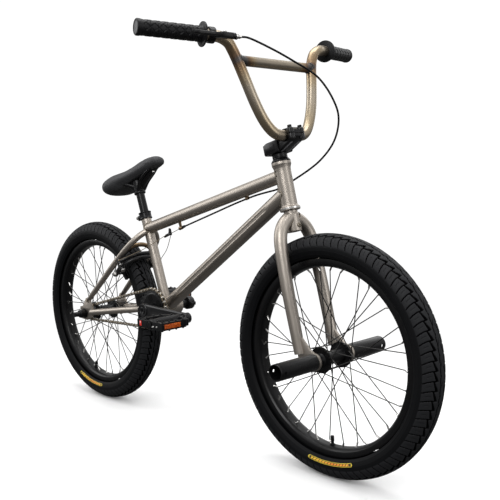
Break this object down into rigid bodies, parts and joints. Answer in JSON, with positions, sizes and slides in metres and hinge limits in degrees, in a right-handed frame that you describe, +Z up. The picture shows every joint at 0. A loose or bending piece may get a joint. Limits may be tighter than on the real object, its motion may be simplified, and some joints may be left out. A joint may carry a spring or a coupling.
{
  "type": "bmx bike",
  "caption": "Freestyle bike with small wheels, high riser handlebar, front axle pegs, rear rim brake and single-speed chain drive.",
  "frame": {"origin": "on the ground, midway between the two axles", "axes": "+X forward, +Y to the rider's left, +Z up; the chain and sprocket are on the -Y side"},
  "size_m": [1.344, 0.6328, 0.9191],
  "materials": {
    "raw_steel": "brushed bare steel under clear coat",
    "black_metal": "satin black",
    "black_alloy": "black anodised",
    "bright_steel": "bright plated",
    "black_plastic": "moulded matt black",
    "grip_rubber": "moulded rubber",
    "tyre": "matt rubber with tread"
  },
  "bodies": {
    "frame": {"head_tube": "raw_steel", "top_tube": "raw_steel", "down_tube": "raw_steel", "seat_tube": "raw_steel", "bottom_bracket_shell": "raw_steel", "chain_stay_right": "raw_steel", "chain_stay_left": "raw_steel", "seat_stay_right": "raw_steel", "seat_stay_left": "raw_steel", "seat_stay_bridge": "raw_steel", "seat_clamp": "black_alloy", "headset_bearing_lower": "bright_steel", "headset_bearing_upper": "bright_steel", "bb_bearing_right": "bright_steel", "bb_bearing_left": "bright_steel", "rear_axle": "black_metal", "rear_axle_nut_right": "black_metal", "rear_axle_nut_left": "black_metal", "chain": "bright_steel", "brake_cable_rear": "black_plastic"},
    "seat": {"seat_post": "black_metal", "seat_base": "black_plastic", "seat_pad": "grip_rubber"},
    "fork": {"steerer": "raw_steel", "fork_leg_right": "raw_steel", "fork_leg_left": "raw_steel", "headset_cap": "black_alloy", "stem": "black_alloy", "stem_clamp": "black_alloy", "handlebar": "raw_steel", "crossbar": "raw_steel", "grip_right": "grip_rubber", "grip_left": "grip_rubber", "lever_bracket": "black_alloy", "brake_cable_front": "black_plastic", "front_axle": "bright_steel", "peg_right": "black_metal", "peg_left": "black_metal"},
    "front_wheel": {"front_tyre": "tyre", "front_rim": "black_alloy", "front_hub": "black_alloy", "front_spokes_right": "bright_steel", "front_spokes_left": "bright_steel"},
    "rear_wheel": {"rear_tyre": "tyre", "rear_rim": "black_alloy", "rear_hub": "black_alloy", "rear_spokes_right": "bright_steel", "rear_spokes_left": "bright_steel"},
    "cranks": {"crank_spindle": "black_metal", "crank_arm_right": "black_metal", "crank_arm_left": "black_metal", "sprocket": "black_metal"},
    "driver": {"driver_cog": "bright_steel"},
    "right_pedal": {"pedal_right": "black_plastic"},
    "left_pedal": {"pedal_left": "black_plastic"},
    "lever": {"brake_lever": "black_alloy"},
    "brake_right": {"brake_arm_right": "black_alloy"},
    "brake_left": {"brake_arm_left": "black_alloy"},
    "straddle": {"straddle_carrier": "bright_steel"}
  },
  "joints": [
    {"name": "steering", "type": "hinge", "parent": "frame", "child": "fork", "pos_m": [0.3844, 0, 0.255], "axis": [-0.2453, 0, 0.9694], "range_deg": [-80, 80], "deforming": ["brake_cable_front"]},
    {"name": "front_wheel_spin", "type": "hinge", "parent": "fork", "child": "front_wheel", "pos_m": [0.417, 0, 0.255], "axis": [0, 1, 0], "continuous": true},
    {"name": "rear_wheel_spin", "type": "hinge", "parent": "frame", "child": "rear_wheel", "pos_m": [-0.417, 0, 0.255], "axis": [0, 1, 0], "continuous": true},
    {"name": "crank_spin", "type": "hinge", "parent": "frame", "child": "cranks", "pos_m": [-0.11738, 0, 0.3006], "axis": [0, 1, 0], "continuous": true, "deforming": ["chain"]},
    {"name": "driver_spin", "type": "hinge", "parent": "frame", "child": "driver", "pos_m": [-0.417, 0, 0.255], "axis": [0, 1, 0], "continuous": true},
    {"name": "pedal_right_spin", "type": "hinge", "parent": "cranks", "child": "right_pedal", "pos_m": [0.04262, -0.136, 0.3006], "axis": [0, 1, 0], "continuous": true},
    {"name": "pedal_left_spin", "type": "hinge", "parent": "cranks", "child": "left_pedal", "pos_m": [-0.27738, 0.136, 0.3006], "axis": [0, 1, 0], "continuous": true},
    {"name": "seat_height", "type": "slide", "parent": "frame", "child": "seat", "axis": [-0.3173, 0, 0.9483], "range_m": [-0.04, 0.05]},
    {"name": "lever_squeeze", "type": "hinge", "parent": "fork", "child": "lever", "pos_m": [0.29469, -0.16383, 0.88945], "axis": [-0.1386, -0.0056, -0.9903], "range_deg": [0, 14], "stiffness_Nm_per_rad": 0.6, "springref_deg": -8.59},
    {"name": "brake_right_close", "type": "hinge", "parent": "frame", "child": "brake_right", "pos_m": [-0.2415, -0.05, 0.3997], "axis": [-0.65, 0, 0.76], "range_deg": [0, 2.6]},
    {"name": "brake_left_close", "type": "hinge", "parent": "frame", "child": "brake_left", "pos_m": [-0.2415, 0.05, 0.3997], "axis": [0.65, 0, -0.76], "range_deg": [0, 2.6]},
    {"name": "straddle_pull", "type": "slide", "parent": "frame", "child": "straddle", "axis": [0.9363, 0, 0.3511], "range_m": [0, 0.006]}
  ],
  "couplings": [
    {"joint": "driver_spin", "follows": "crank_spin", "ratio": 2.7778},
    {"joint": "brake_right_close", "follows": "lever_squeeze", "ratio": 0.18},
    {"joint": "brake_left_close", "follows": "lever_squeeze", "ratio": 0.18},
    {"joint": "straddle_pull", "follows": "lever_squeeze", "m_per_rad": 0.0205}
  ]
}
